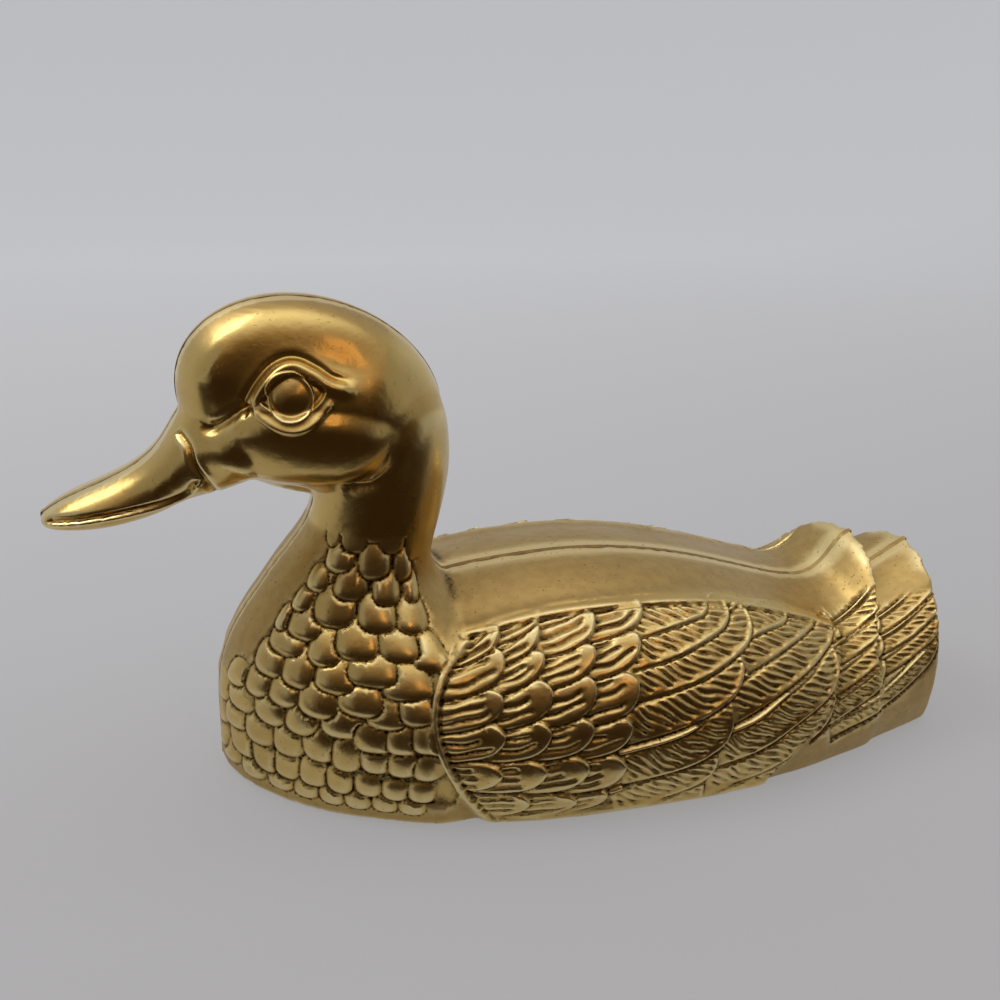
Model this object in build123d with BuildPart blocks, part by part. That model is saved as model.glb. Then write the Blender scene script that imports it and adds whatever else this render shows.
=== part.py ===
# A hollow brass duck: two half castings that meet on the middle plane and are brazed
# together along a shallow groove. The bill points along -X, the tail along +X, and the
# duck rests on z = 0 with its underside open. The origin is under the middle of its length.
import os
from math import pi, cos, sin, sqrt

from build123d import *

os.makedirs("parts", exist_ok=True)

# Reach of the figure to each side of the nape, where the neck rises out of the back
bill_reach = 118.5
tail_reach = 186.5

# Body: the back's highest point, the level where the flanks are widest, and how far
# their curve would go on below that level
body_width = 124.6
back_height = 66.0
belly_height = 17.0
belly_drop = 45.0

# Breast and neck: their foremost and rearmost reach from the nape, and their widths
breast_reach = 72.5
breast_width = 109.0
neck_width = 47.0
neck_height = 126.0

# Head, an ellipsoid that leans back, and the bill
head_length = 82.0
head_width = 56.0
head_depth = 61.0
head_setback = 37.6
head_height = 124.4
head_lean = 19.0
bill_length = 60.5
bill_width = 29.2
bill_depth = 24.4
bill_height = 88.6

# Tail: the curled lip of the coverts, and the tail's own curled lip behind it
covert_rise = 20.0
covert_gap = 25.2
covert_sweep = 10.0
tail_height = 58.0
tail_width = 84.0
tail_sweep = 6.2

# Casting wall, and the braze in its groove on the middle plane
wall = 3.0
braze_width = 2.0
braze_depth = 1.5

# Wing panels, raised from the flanks
wing_front = 11.0
wing_length = 150.0
wing_height = 61.7
wing_rise = 2.2
feather_gap = 1.3

# Eyes, low domes on the sides of the head
eye_radius = 6.2
eye_rise = 1.2
eye_setback = 46.3
eye_height = 133.1

overrun = 30.0
ring_points = 18

# How square a section is: 2 is an ellipse, and less is more pointed
body_roundness = 2.15

nape_x = (bill_reach - tail_reach) / 2
tail_x = nape_x + tail_reach
bill_x = nape_x - bill_reach
covert_x = tail_x - covert_gap
belly_floor = belly_height - belly_drop


# A ring is one closed section of the skin, square to the middle plane: its lower and
# upper points there as (x, z), its half width, how far below the top it is widest, and
# its roundness
def upright_ring(x, bottom, top, half_width, widest_share):
    return ((x, bottom), (x, top), half_width, widest_share, body_roundness)


def body_ring(x, top, half_width):
    return upright_ring(x, belly_floor, top, half_width, (top - belly_height) / (top - belly_floor))


def level_ring(z, front, rear, half_width, widest_share, roundness):
    return ((front, z), (rear, z), half_width, widest_share, roundness)


def ring_outline(row, inset):
    lower, upper, half_width, widest_share, roundness = row
    across = Vector(upper[0] - lower[0], 0, upper[1] - lower[1])
    plane = Plane(
        origin=(lower[0], 0, lower[1]),
        x_dir=(0, 1, 0),
        z_dir=Vector(0, 1, 0).cross(across),
    )
    waist = across.length * (1 - widest_share)
    points = []
    for step in range(ring_points):
        turn = 2 * pi * step / ring_points
        side = 1 if cos(turn) >= 0 else -1
        reach = side * abs(cos(turn)) ** (2 / roundness) * (half_width - inset)
        lift = abs(sin(turn)) ** (2 / roundness)
        if sin(turn) >= 0:
            rise = waist + (across.length - waist - inset) * lift
        else:
            rise = waist - (waist - inset) * lift
        points.append((reach, rise))
    return plane, points


def skin(rings, inset):
    with BuildPart() as form:
        for row in rings:
            plane, points = ring_outline(row, inset)
            with BuildSketch(plane):
                with BuildLine():
                    Spline(*points, periodic=True)
                make_face()
        loft()
    return form.part


# Back, from the curled coverts to a start inside the breast: place along the tail's
# reach, height as a share of the back's, half width of the body's, and share of the curl
back_shares = [
    (0.900, 0.640, 0.690, 1.10),
    (0.865, 0.652, 0.725, 1.00),
    (0.834, 0.667, 0.762, 0.72),
    (0.807, 0.682, 0.795, 0.31),
    (0.776, 0.697, 0.826, 0.07),
    (0.740, 0.712, 0.852, 0),
    (0.672, 0.756, 0.907, 0),
    (0.560, 0.855, 0.965, 0),
    (0.420, 0.952, 0.998, 0),
    (0.260, 0.998, 0.998, 0),
    (0.120, 0.980, 0.972, 0),
    (0.020, 0.940, 0.915, 0),
    (-0.070, 0.850, 0.830, 0),
    (-0.150, 0.720, 0.700, 0),
]


def back_rings(curl):
    rings = []
    for along, top, half, lip in back_shares:
        height = top * back_height + lip * curl
        rings.append(body_ring(nape_x + along * tail_reach, height, half * body_width / 2))
    return rings


# Breast and neck, level rings upwards: height as a share of the neck's, front as a share
# of the breast's reach, rear as a share of it, half width of the breast's and the neck's,
# how far from the rear it is widest, and its roundness
breast_shares = [
    (-0.160, 0.970, -0.36, 0.880, 0, 0.25, 1.75),
    (-0.060, 0.997, -0.36, 0.975, 0, 0.25, 1.72),
    (0.050, 1.000, -0.36, 1.000, 0, 0.25, 1.70),
    (0.160, 0.998, -0.36, 1.010, 0, 0.25, 1.72),
    (0.270, 0.980, -0.35, 0.985, 0, 0.26, 1.78),
    (0.365, 0.927, -0.30, 0.875, 0, 0.28, 1.86),
    (0.445, 0.848, -0.17, 0.700, 0, 0.31, 1.95),
    (0.515, 0.763, -0.02, 0.385, 0.40, 0.36, 2.03),
    (0.580, 0.680, 0.016, 0.100, 0.88, 0.43, 2.10),
    (0.645, 0.594, -0.006, 0, 1.03, 0.47, 2.15),
    (0.710, 0.542, -0.034, 0, 1.00, 0.50, 2.15),
    (0.780, 0.524, -0.056, 0, 1.00, 0.50, 2.15),
    (0.860, 0.520, -0.062, 0, 1.03, 0.50, 2.15),
    (0.935, 0.500, -0.048, 0, 1.00, 0.50, 2.15),
    (1.000, 0.480, 0.020, 0, 0.88, 0.50, 2.15),
]


def breast_rings():
    rings = []
    for level, front, rear, breast_half, neck_half, widest, roundness in breast_shares:
        half_width = (breast_half * breast_width + neck_half * neck_width) / 2
        front_x = nape_x - front * breast_reach
        rear_x = nape_x - rear * breast_reach
        height = level * neck_height
        rings.append(level_ring(height, front_x, rear_x, half_width, widest, roundness))
    return rings


# Face and bill: place along the bill's length, bottom and top as shares of its depth,
# half width, and widest place
bill_shares = [
    (0.000, 0.49, 1.90, 1.507, 0.55),
    (0.130, 0.40, 1.78, 1.404, 0.55),
    (0.248, 0.33, 1.60, 1.233, 0.55),
    (0.331, 0.26, 1.37, 1.110, 0.55),
    (0.421, 0.16, 1.02, 1.014, 0.55),
    (0.529, 0.08, 0.77, 0.945, 0.60),
    (0.661, 0.025, 0.59, 0.918, 0.65),
    (0.793, 0.004, 0.45, 0.850, 0.65),
    (0.909, 0.000, 0.32, 0.685, 0.60),
    (1.000, 0.041, 0.18, 0.308, 0.50),
]


def bill_rings():
    rings = []
    for along, bottom, top, half, widest in bill_shares:
        rings.append(
            upright_ring(
                bill_x + (1 - along) * bill_length,
                bill_height + bottom * bill_depth,
                bill_height + top * bill_depth,
                half * bill_width / 2,
                widest,
            )
        )
    return rings


# Tail, under the coverts and out to its own lip: place behind the coverts' lip as a
# share of the gap, height and half width as shares of the tail's
tail_shares = [
    (-0.75, 0.690, 1.210),
    (-0.20, 0.733, 1.107),
    (0.19, 0.790, 1.036),
    (0.50, 0.865, 0.976),
    (0.78, 0.940, 0.917),
    (1.02, 1.000, 0.869),
    (1.30, 1.050, 0.810),
]


def tail_rings():
    rings = []
    for along, top, half in tail_shares:
        x = covert_x + along * covert_gap
        rings.append(body_ring(x, top * tail_height, half * tail_width / 2))
    return rings


# The head, made from a unit ball whose poles are on its sides
def head_form(inset):
    radii = (head_length / 2 - inset, head_width / 2 - inset, head_depth / 2 - inset)
    ball = scale(Rot(90, 0, 0) * Sphere(1), by=radii)
    return Pos(nape_x - head_setback, 0, head_height) * Rot(0, head_lean, 0) * ball


# The space on the left of a middle strip and above a floor level, up to a swept end
half_way_share = 0.5


def left_space(end_x, sweep, strip, floor):
    far_y = body_width / 2 + overrun
    corner_y = tail_width / 2
    start_x = bill_x - overrun
    with BuildPart() as space:
        with BuildSketch(Plane.XY.offset(floor)):
            with BuildLine():
                Polyline(
                    (end_x, -strip),
                    (start_x, -strip),
                    (start_x, -far_y),
                    (end_x - sweep, -far_y),
                    (end_x - sweep, -corner_y),
                )
                ThreePointArc(
                    (end_x - sweep, -corner_y),
                    (end_x - half_way_share**2 * sweep, -half_way_share * corner_y),
                    (end_x, -strip),
                )
            make_face()
        extrude(amount=head_height + head_depth + overrun)
    return space.part


# Wing panel outline in side view, shares of the wing's length and height: up the front,
# over the top to the tip, and down behind
wing_front_shares = [(0.14, -0.08), (0.055, 0.20), (0, 0.55), (0.02, 0.79), (0.09, 0.92)]
wing_top_shares = [(0.09, 0.92), (0.22, 0.975), (0.36, 1), (0.51, 0.99), (0.67, 0.94), (0.83, 0.84), (1, 0.70)]
wing_rear_shares = [(1, 0.70), (0.955, 0.55), (0.90, 0.40), (0.80, 0.15), (0.74, -0.08)]


# Gaps that part the wing's feathers, in the same shares: the rear edges of the four rows
# of coverts and of the shorter flight feathers, then the gaps between the long feathers
row_gap_shares = [
    [(0.165, 0.920), (0.147, 0.794), (0.143, 0.628), (0.133, 0.431), (0.107, 0.227)],
    [(0.250, 0.970), (0.243, 0.862), (0.240, 0.676), (0.230, 0.444), (0.200, 0.130)],
    [(0.365, 0.985), (0.350, 0.896), (0.333, 0.715), (0.320, 0.450), (0.293, 0.097)],
    [(0.485, 0.975), (0.447, 0.900), (0.423, 0.747), (0.407, 0.488), (0.373, 0.097)],
    [(0.725, 0.900), (0.690, 0.850), (0.653, 0.751), (0.627, 0.552), (0.587, 0.132)],
]
feather_gap_shares = [
    [(0.450, 0.827), (0.533, 0.843), (0.613, 0.864), (0.700, 0.885)],
    [(0.415, 0.656), (0.500, 0.679), (0.580, 0.717), (0.645, 0.770)],
    [(0.405, 0.408), (0.487, 0.444), (0.567, 0.505), (0.622, 0.575)],
    [(0.640, 0.638), (0.740, 0.706), (0.847, 0.741), (0.945, 0.735)],
    [(0.622, 0.415), (0.713, 0.478), (0.820, 0.584), (0.925, 0.655)],
    [(0.600, 0.219), (0.700, 0.270), (0.807, 0.384), (0.880, 0.500)],
]


def wing_point(share):
    return (nape_x - wing_front + share[0] * wing_length, share[1] * wing_height)


def feather_gaps():
    with BuildSketch() as gaps:
        for shares in row_gap_shares + feather_gap_shares:
            with BuildLine() as middle_line:
                Spline(*[wing_point(share) for share in shares])
            trace(middle_line.edges(), line_width=feather_gap)
    return gaps.sketch_local


def wing_panel():
    gaps = feather_gaps()
    with BuildPart() as panel:
        with BuildSketch(Plane.XZ.offset(wing_rise)):
            with BuildLine():
                Spline(*[wing_point(share) for share in wing_front_shares])
                Spline(*[wing_point(share) for share in wing_top_shares])
                Spline(*[wing_point(share) for share in wing_rear_shares])
                Line(wing_point(wing_rear_shares[-1]), wing_point(wing_front_shares[0]))
            make_face()
            add(gaps, mode=Mode.SUBTRACT)
        extrude(amount=body_width)
    return panel.part


# A ball whose cap stands out of the leaning head's side at the eye
def eye_dome():
    offset = Vector(head_setback - eye_setback, 0, eye_height - head_height).rotate(Axis.Y, -head_lean)
    along, rise = offset.X / (head_length / 2), offset.Z / (head_depth / 2)
    side_y = -head_width / 2 * sqrt(1 - along**2 - rise**2)
    slope = Vector(offset.X / head_length**2, side_y / head_width**2, offset.Z / head_depth**2)
    outward = slope.normalized().rotate(Axis.Y, head_lean)
    radius = (eye_radius**2 + eye_rise**2) / (2 * eye_rise)
    centre = Vector(nape_x - eye_setback, side_y, eye_height) + outward * (eye_rise - radius)
    return Pos(*centre) * Sphere(radius)


def open_form(inset, middle, floor, curl):
    space = left_space(covert_x - inset, covert_sweep, middle, floor)
    form = skin(back_rings(curl), inset) & space
    form += skin(tail_rings(), inset) & left_space(tail_x - inset, tail_sweep, middle, floor)
    form += skin(breast_rings(), inset) & space
    return form + (head_form(inset) & space)


def whole_form(inset):
    space = left_space(covert_x, covert_sweep, 0, 0)
    return open_form(inset, 0, 0, covert_rise) + (skin(bill_rings(), inset) & space)


def region(start_x, end_x, start_z, end_z, start_y, end_y):
    middle = ((start_x + end_x) / 2, (start_y + end_y) / 2, (start_z + end_z) / 2)
    return Pos(*middle) * Box(end_x - start_x, end_y - start_y, end_z - start_z)


# Left casting: the skin with its raised wing and eye, stepped in beside the middle plane
# to hold the braze, and hollow from below up into the head
far_x = tail_x + overrun
top_z = head_height + head_depth
outer = whole_form(0)
core = whole_form(braze_depth)
groove = region(-far_x, far_x, -overrun, top_z, -braze_width / 2, 0)
raised = skin(back_rings(covert_rise), -wing_rise) + skin(breast_rings(), -wing_rise)
raised = raised & wing_panel() & left_space(covert_x, covert_sweep, braze_width, 0)
hollow = open_form(wall, -overrun, -overrun, 0)

strip = (outer & groove) - core
with BuildPart() as left_casting:
    add(outer - groove)
    add(core)
    add(raised)
    add(eye_dome())
    add(hollow, mode=Mode.SUBTRACT)
left_casting.part.label = "left_casting"

with BuildPart() as right_casting:
    mirror(left_casting.part, about=Plane.XZ)
right_casting.part.label = "right_casting"

# Braze runs in the groove: up the breast, from the throat under the bill to its tip, over
# the bill, head and nape, along the back, and over the two lips of the tail
valley_share = 0.74
throat_shares = (0.38, 0.68)
strip = strip + mirror(strip, about=Plane.XZ)
valley_x = nape_x + valley_share * tail_reach
throat_x = nape_x - throat_shares[0] * breast_reach
throat_z = throat_shares[1] * neck_height
breast_space = region(-far_x, throat_x, -overrun, throat_z, -braze_width, braze_width)
back_space = region(nape_x, valley_x, -overrun, back_height + braze_width, -braze_width, braze_width)
tail_space = region(valley_x, far_x, -overrun, top_z, -braze_width, braze_width)

with BuildPart() as breast_braze:
    add(strip & breast_space)
with BuildPart() as back_braze:
    add(strip & back_space)
with BuildPart() as tail_braze:
    add(strip & tail_space)
throat_run, head_run = (strip - breast_space - back_space - tail_space).solids().sort_by(Axis.Z)
with BuildPart() as throat_braze:
    add(throat_run)
with BuildPart() as head_braze:
    add(head_run)
breast_braze.part.label = "breast_braze"
back_braze.part.label = "back_braze"
tail_braze.part.label = "tail_braze"
throat_braze.part.label = "throat_braze"
head_braze.part.label = "head_braze"

runs = (breast_braze, throat_braze, head_braze, back_braze, tail_braze)
for piece in (left_casting, right_casting, *runs):
    export_step(piece.part, f"parts/{piece.part.label}.step")
    print(piece.part.label, piece.part.is_valid, [round(body.volume, 1) for body in piece.part.solids()])
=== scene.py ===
import bpy
import bmesh
import math
import numpy as np
from mathutils import Matrix, Vector
from mathutils.bvhtree import BVHTree


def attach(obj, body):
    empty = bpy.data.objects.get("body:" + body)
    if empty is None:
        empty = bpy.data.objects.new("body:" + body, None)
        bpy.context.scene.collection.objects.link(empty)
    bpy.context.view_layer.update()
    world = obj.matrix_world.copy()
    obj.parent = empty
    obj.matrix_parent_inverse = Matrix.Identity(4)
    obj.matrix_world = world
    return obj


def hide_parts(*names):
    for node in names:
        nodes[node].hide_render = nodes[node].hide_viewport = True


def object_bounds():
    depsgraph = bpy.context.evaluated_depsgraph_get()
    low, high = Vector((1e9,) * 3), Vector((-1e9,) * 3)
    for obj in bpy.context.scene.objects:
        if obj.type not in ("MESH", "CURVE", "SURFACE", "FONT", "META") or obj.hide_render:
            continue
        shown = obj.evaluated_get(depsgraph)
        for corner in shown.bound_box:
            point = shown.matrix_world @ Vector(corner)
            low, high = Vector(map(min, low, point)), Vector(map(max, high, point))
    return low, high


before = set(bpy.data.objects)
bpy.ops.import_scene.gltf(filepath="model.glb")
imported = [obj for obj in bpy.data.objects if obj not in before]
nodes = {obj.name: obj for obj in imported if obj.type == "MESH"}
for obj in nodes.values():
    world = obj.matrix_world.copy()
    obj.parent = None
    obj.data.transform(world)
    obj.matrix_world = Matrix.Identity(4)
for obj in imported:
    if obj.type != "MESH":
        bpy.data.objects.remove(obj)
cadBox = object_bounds()
mm = 0.001

# the camera stands where the photograph was taken from, above the duck's left side
viewpoint = {"aim": (-10.784 * mm, 0.0, 85.716 * mm), "azimuth": -16.5, "elevation": 23.0, "roll": 2.4,
             "distance": 351.05 * mm, "lens": 37.8, "sensor": 36.0}


def makeCamera():
    azimuth, elevation = math.radians(viewpoint["azimuth"]), math.radians(viewpoint["elevation"])
    back = Vector((math.sin(azimuth) * math.cos(elevation),
                   -math.cos(azimuth) * math.cos(elevation), math.sin(elevation)))
    right = Vector((math.cos(azimuth), math.sin(azimuth), 0.0))
    up = back.cross(right)
    roll = math.radians(viewpoint["roll"])
    turnedRight = right * math.cos(roll) + up * math.sin(roll)
    turnedUp = -right * math.sin(roll) + up * math.cos(roll)
    data = bpy.data.cameras.new("camera")
    data.lens = viewpoint["lens"]
    data.sensor_width = viewpoint["sensor"]
    data.clip_start, data.clip_end = 0.02, 20.0  # metres
    camera = bpy.data.objects.new("camera", data)
    bpy.context.scene.collection.objects.link(camera)
    turn = Matrix((turnedRight, turnedUp, back)).transposed().to_4x4()
    camera.matrix_world = Matrix.Translation(Vector(viewpoint["aim"]) + back * viewpoint["distance"]) @ turn
    bpy.context.scene.camera = camera


def linkObject(name, bm):
    mesh = bpy.data.meshes.new(name)
    bm.to_mesh(mesh)
    bm.free()
    piece = bpy.data.objects.new(name, mesh)
    bpy.context.scene.collection.objects.link(piece)
    return piece


studio = {"clothColour": (0.60, 0.60, 0.635), "clothRoughness": 0.85, "clothGlow": 0.65,
          "nearGlow": (0.42, 0.42, 0.425), "farGlow": (0.66, 0.675, 0.70), "glowFrom": -0.05, "glowTo": 0.9,
          "lightColour": (0.96, 0.97, 1.0), "roomColour": (1.0, 0.60, 0.27),
          "keyPower": 2.2, "keySize": 0.5, "keyPlace": (-0.5, 0.3, 0.8),
          "lampPower": 0.4, "lampSize": 0.12, "lampPlace": (0.25, -0.75, 0.75),
          "lampColour": (1.0, 0.58, 0.28), "lampAim": (0.0, 0.0, 0.06),
          "flagStart": 0.085, "flagDepth": 0.7, "flagHeight": 0.004, "flagReach": 1.0,
          "backdropReach": 1.0, "backdropRadius": 0.5, "backdropHeight": 0.9}


def makeBackdrop():
    # a round sheet of cloth that runs along the floor and sweeps up on every side
    bm = bmesh.new()
    reach, radius = studio["backdropReach"], studio["backdropRadius"]
    corner = bm.verts.new((0.0, reach, 0.0))
    spun = bmesh.ops.spin(bm, geom=[corner], cent=(0.0, reach, radius), axis=(1.0, 0.0, 0.0),
                          angle=math.radians(90), steps=24)
    top = [v for v in spun["geom_last"] if isinstance(v, bmesh.types.BMVert)][0]
    rim = bm.verts.new(top.co + Vector((0.0, 0.0, studio["backdropHeight"])))
    middle = bm.verts.new((0.0, 0.0, 0.0))
    bm.edges.new((top, rim))
    bm.edges.new((middle, corner))
    bmesh.ops.spin(bm, geom=bm.verts[:] + bm.edges[:], cent=(0.0, 0.0, 0.0), axis=(0.0, 0.0, 1.0),
                   angle=math.radians(360), steps=96, use_merge=True)
    bmesh.ops.remove_doubles(bm, verts=bm.verts[:], dist=1e-5)
    bmesh.ops.recalc_face_normals(bm, faces=bm.faces[:])
    for face in bm.faces:
        face.smooth = True
    floor = linkObject("backdrop", bm)
    material = bpy.data.materials.new("paleCloth")
    material.use_nodes = True
    tree = material.node_tree
    shader = tree.nodes["Principled BSDF"]
    shader.inputs["Base Color"].default_value = (*studio["clothColour"], 1.0)
    shader.inputs["Roughness"].default_value = studio["clothRoughness"]
    # painted light: seen directly or in the brass, the cloth is evened out by a glow that is dimmer in front
    # of the duck and brighter behind it; the light that it gives is its own
    glow = addNode(tree, "ShaderNodeEmission")
    depth = addNode(tree, "ShaderNodeSeparateXYZ")
    tree.links.new(addNode(tree, "ShaderNodeTexCoord").outputs["Object"], depth.inputs[0])
    # painted light: the glow runs from dim near the front to bright at the back
    away = addNode(tree, "ShaderNodeMapRange")
    away.inputs["From Min"].default_value = studio["glowFrom"]
    away.inputs["From Max"].default_value = studio["glowTo"]
    tree.links.new(depth.outputs["Y"], away.inputs["Value"])
    tree.links.new(mixColours(tree, away.outputs["Result"], studio["nearGlow"], studio["farGlow"]),
                   glow.inputs["Color"])
    path = addNode(tree, "ShaderNodeLightPath")
    seen = combine(tree, "ADD", path.outputs["Is Camera Ray"], path.outputs["Is Glossy Ray"], True)
    seen = combine(tree, "ADD", seen, path.outputs["Is Transmission Ray"], True)
    blend = addNode(tree, "ShaderNodeMixShader")
    tree.links.new(combine(tree, "MULTIPLY", seen, studio["clothGlow"]), blend.inputs[0])
    tree.links.new(shader.outputs[0], blend.inputs[1])
    tree.links.new(glow.outputs[0], blend.inputs[2])
    tree.links.new(blend.outputs[0], tree.nodes["Material Output"].inputs["Surface"])
    floor.data.materials.append(material)


# glow of the dark card, a painted reflection of the dim room, by height in metres
cardRamp = [(0.10, 0.03), (0.55, 0.11), (0.90, 0.32), (1.25, 0.60)]


def makePaintedReflection():
    # painted reflection: a dark card in front of the duck, seen only in the brass, which stands in for the
    # dim side of the room
    bm = bmesh.new()
    near, height = studio["flagStart"], studio["flagHeight"]
    low = bm.verts.new((-studio["flagReach"], -near, height))
    corner = bm.verts.new((-studio["flagReach"], -studio["flagDepth"], height))
    top = bm.verts.new((-studio["flagReach"], -studio["flagDepth"], cardRamp[-1][0]))
    line = [bm.edges.new((low, corner)), bm.edges.new((corner, top))]
    strip = bmesh.ops.extrude_edge_only(bm, edges=line)
    moved = [v for v in strip["geom"] if isinstance(v, bmesh.types.BMVert)]
    bmesh.ops.translate(bm, vec=(2 * studio["flagReach"], 0.0, 0.0), verts=moved)
    reflectionCard = linkObject("reflectionCard", bm)
    material = bpy.data.materials.new("paintedReflectionCard")
    material.use_nodes = True
    tree = material.node_tree
    shader = tree.nodes["Principled BSDF"]
    shader.inputs["Base Color"].default_value = (0.0, 0.0, 0.0, 1.0)
    shader.inputs["Roughness"].default_value = 1.0
    shader.inputs["Specular IOR Level"].default_value = 0.0
    place = addNode(tree, "ShaderNodeSeparateXYZ")
    tree.links.new(addNode(tree, "ShaderNodeTexCoord").outputs["Object"], place.inputs[0])
    tree.links.new(brightnessRamp(tree, place.outputs["Z"], cardRamp), shader.inputs["Emission Color"])
    shader.inputs["Emission Strength"].default_value = 1.0
    reflectionCard.data.materials.append(material)
    reflectionCard.visible_camera = reflectionCard.visible_diffuse = reflectionCard.visible_shadow = reflectionCard.visible_transmission = False


def brightnessRamp(tree, value, steps):
    # warm where it is dim, as cool as daylight where it is bright
    ramp = addNode(tree, "ShaderNodeValToRGB")
    elements = ramp.color_ramp.elements
    span = steps[-1][0]
    elements[0].position, elements[1].position = steps[0][0] / span, 1.0
    for position, _ in steps[1:-1]:
        elements.new(position / span)
    for element, (_, strength) in zip(elements, steps):
        share = min(strength, 1.0)
        tint = [share * a + (1 - share) * b for a, b in zip(studio["lightColour"], studio["roomColour"])]
        element.color = (*[strength * c for c in tint], 1.0)
    tree.links.new(combine(tree, "DIVIDE", value, span), ramp.inputs[0])
    return ramp.outputs[0]


# brightness of the room by height, less for the directions in front and behind
roomRamp = [(0.0, 0.05), (0.34, 0.15), (0.60, 0.46), (0.78, 0.92), (0.91, 1.25), (0.97, 1.4)]


def makeLamp(name, kind):
    data = bpy.data.lights.new(name, "AREA")
    data.shape = "SQUARE"
    data.size = studio[kind + "Size"]
    data.energy = studio[kind + "Power"]
    lamp = bpy.data.objects.new(name, data)
    bpy.context.scene.collection.objects.link(lamp)
    place = Vector(studio[kind + "Place"])
    aim = Vector(studio["lampAim"])
    lamp.matrix_world = Matrix.Translation(place) @ (place - aim).to_track_quat("Z", "Y").to_matrix().to_4x4()
    return data


def makeLight():
    # soft light from above and behind, and a dim room on the camera's side for the brass to mirror
    world = bpy.data.worlds.new("room")
    bpy.context.scene.world = world
    world.use_nodes = True
    tree = world.node_tree
    coordinate = addNode(tree, "ShaderNodeTexCoord")
    split = addNode(tree, "ShaderNodeSeparateXYZ")
    tree.links.new(coordinate.outputs["Generated"], split.inputs[0])
    offset = combine(tree, "ABSOLUTE", combine(tree, "SUBTRACT", split.outputs["Y"], 0.15), 0.0)
    lift = combine(tree, "SUBTRACT", split.outputs["Z"], combine(tree, "MULTIPLY", offset, 0.3))
    tree.links.new(brightnessRamp(tree, lift, roomRamp), tree.nodes["Background"].inputs["Color"])
    makeLamp("window", "key")
    makeLamp("roomLamp", "lamp").color = studio["lampColour"]


# the light colour of the crests is partly rubbed wear and partly a painted highlight
brassFinish = {"polished": (0.73, 0.52, 0.175), "aged": (0.47, 0.32, 0.115),
               "patina": (0.040, 0.024, 0.009), "wearAndHighlight": (0.88, 0.72, 0.36), "wearAndHighlightShare": 0.85,
               "dull": (0.33, 0.205, 0.07), "pit": (0.07, 0.040, 0.015),
               "polishedRoughness": 0.19, "agedRoughness": 0.40, "patinaRoughness": 0.66,
               "grainStrength": 0.3, "grainHeight": 0.0003}
# the braze is ground flush and nearly the brass's own colour; along the back it has gone brown
brazeFinish = {"groundBraze": {"dark": (0.50, 0.34, 0.12), "light": (0.64, 0.46, 0.17), "roughness": 0.36},
               "brownBraze": {"dark": (0.25, 0.15, 0.05), "light": (0.42, 0.27, 0.09), "roughness": 0.5},
               "grainStrength": 0.4, "grainHeight": 0.0003}


def addNode(tree, kind, **values):
    node = tree.nodes.new(kind)
    for name, value in values.items():
        setattr(node, name, value)
    return node


def mixColours(tree, factor, first, second):
    node = addNode(tree, "ShaderNodeMix", data_type="RGBA")
    for socket, value in ((0, factor), (6, first), (7, second)):
        if isinstance(value, bpy.types.NodeSocket):
            tree.links.new(value, node.inputs[socket])
        elif socket == 0:
            node.inputs[0].default_value = value
        else:
            node.inputs[socket].default_value = (*value, 1.0)
    return node.outputs[2]


def combine(tree, operation, first, second, clamp=False):
    node = addNode(tree, "ShaderNodeMath", operation=operation, use_clamp=clamp)
    for socket, value in ((0, first), (1, second)):
        if isinstance(value, bpy.types.NodeSocket):
            tree.links.new(value, node.inputs[socket])
        else:
            node.inputs[socket].default_value = value
    return node.outputs[0]


def noiseValue(tree, scale, detail, low, high):
    # a noise on the piece's own coordinates, stretched so that low is 0 and high is 1
    coordinate = addNode(tree, "ShaderNodeTexCoord")
    noise = addNode(tree, "ShaderNodeTexNoise")
    noise.inputs["Scale"].default_value = scale
    noise.inputs["Detail"].default_value = detail
    tree.links.new(coordinate.outputs["Object"], noise.inputs["Vector"])
    spread = addNode(tree, "ShaderNodeMapRange")
    spread.inputs["From Min"].default_value = low
    spread.inputs["From Max"].default_value = high
    tree.links.new(noise.outputs["Fac"], spread.inputs["Value"])
    return spread.outputs["Result"]


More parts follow.
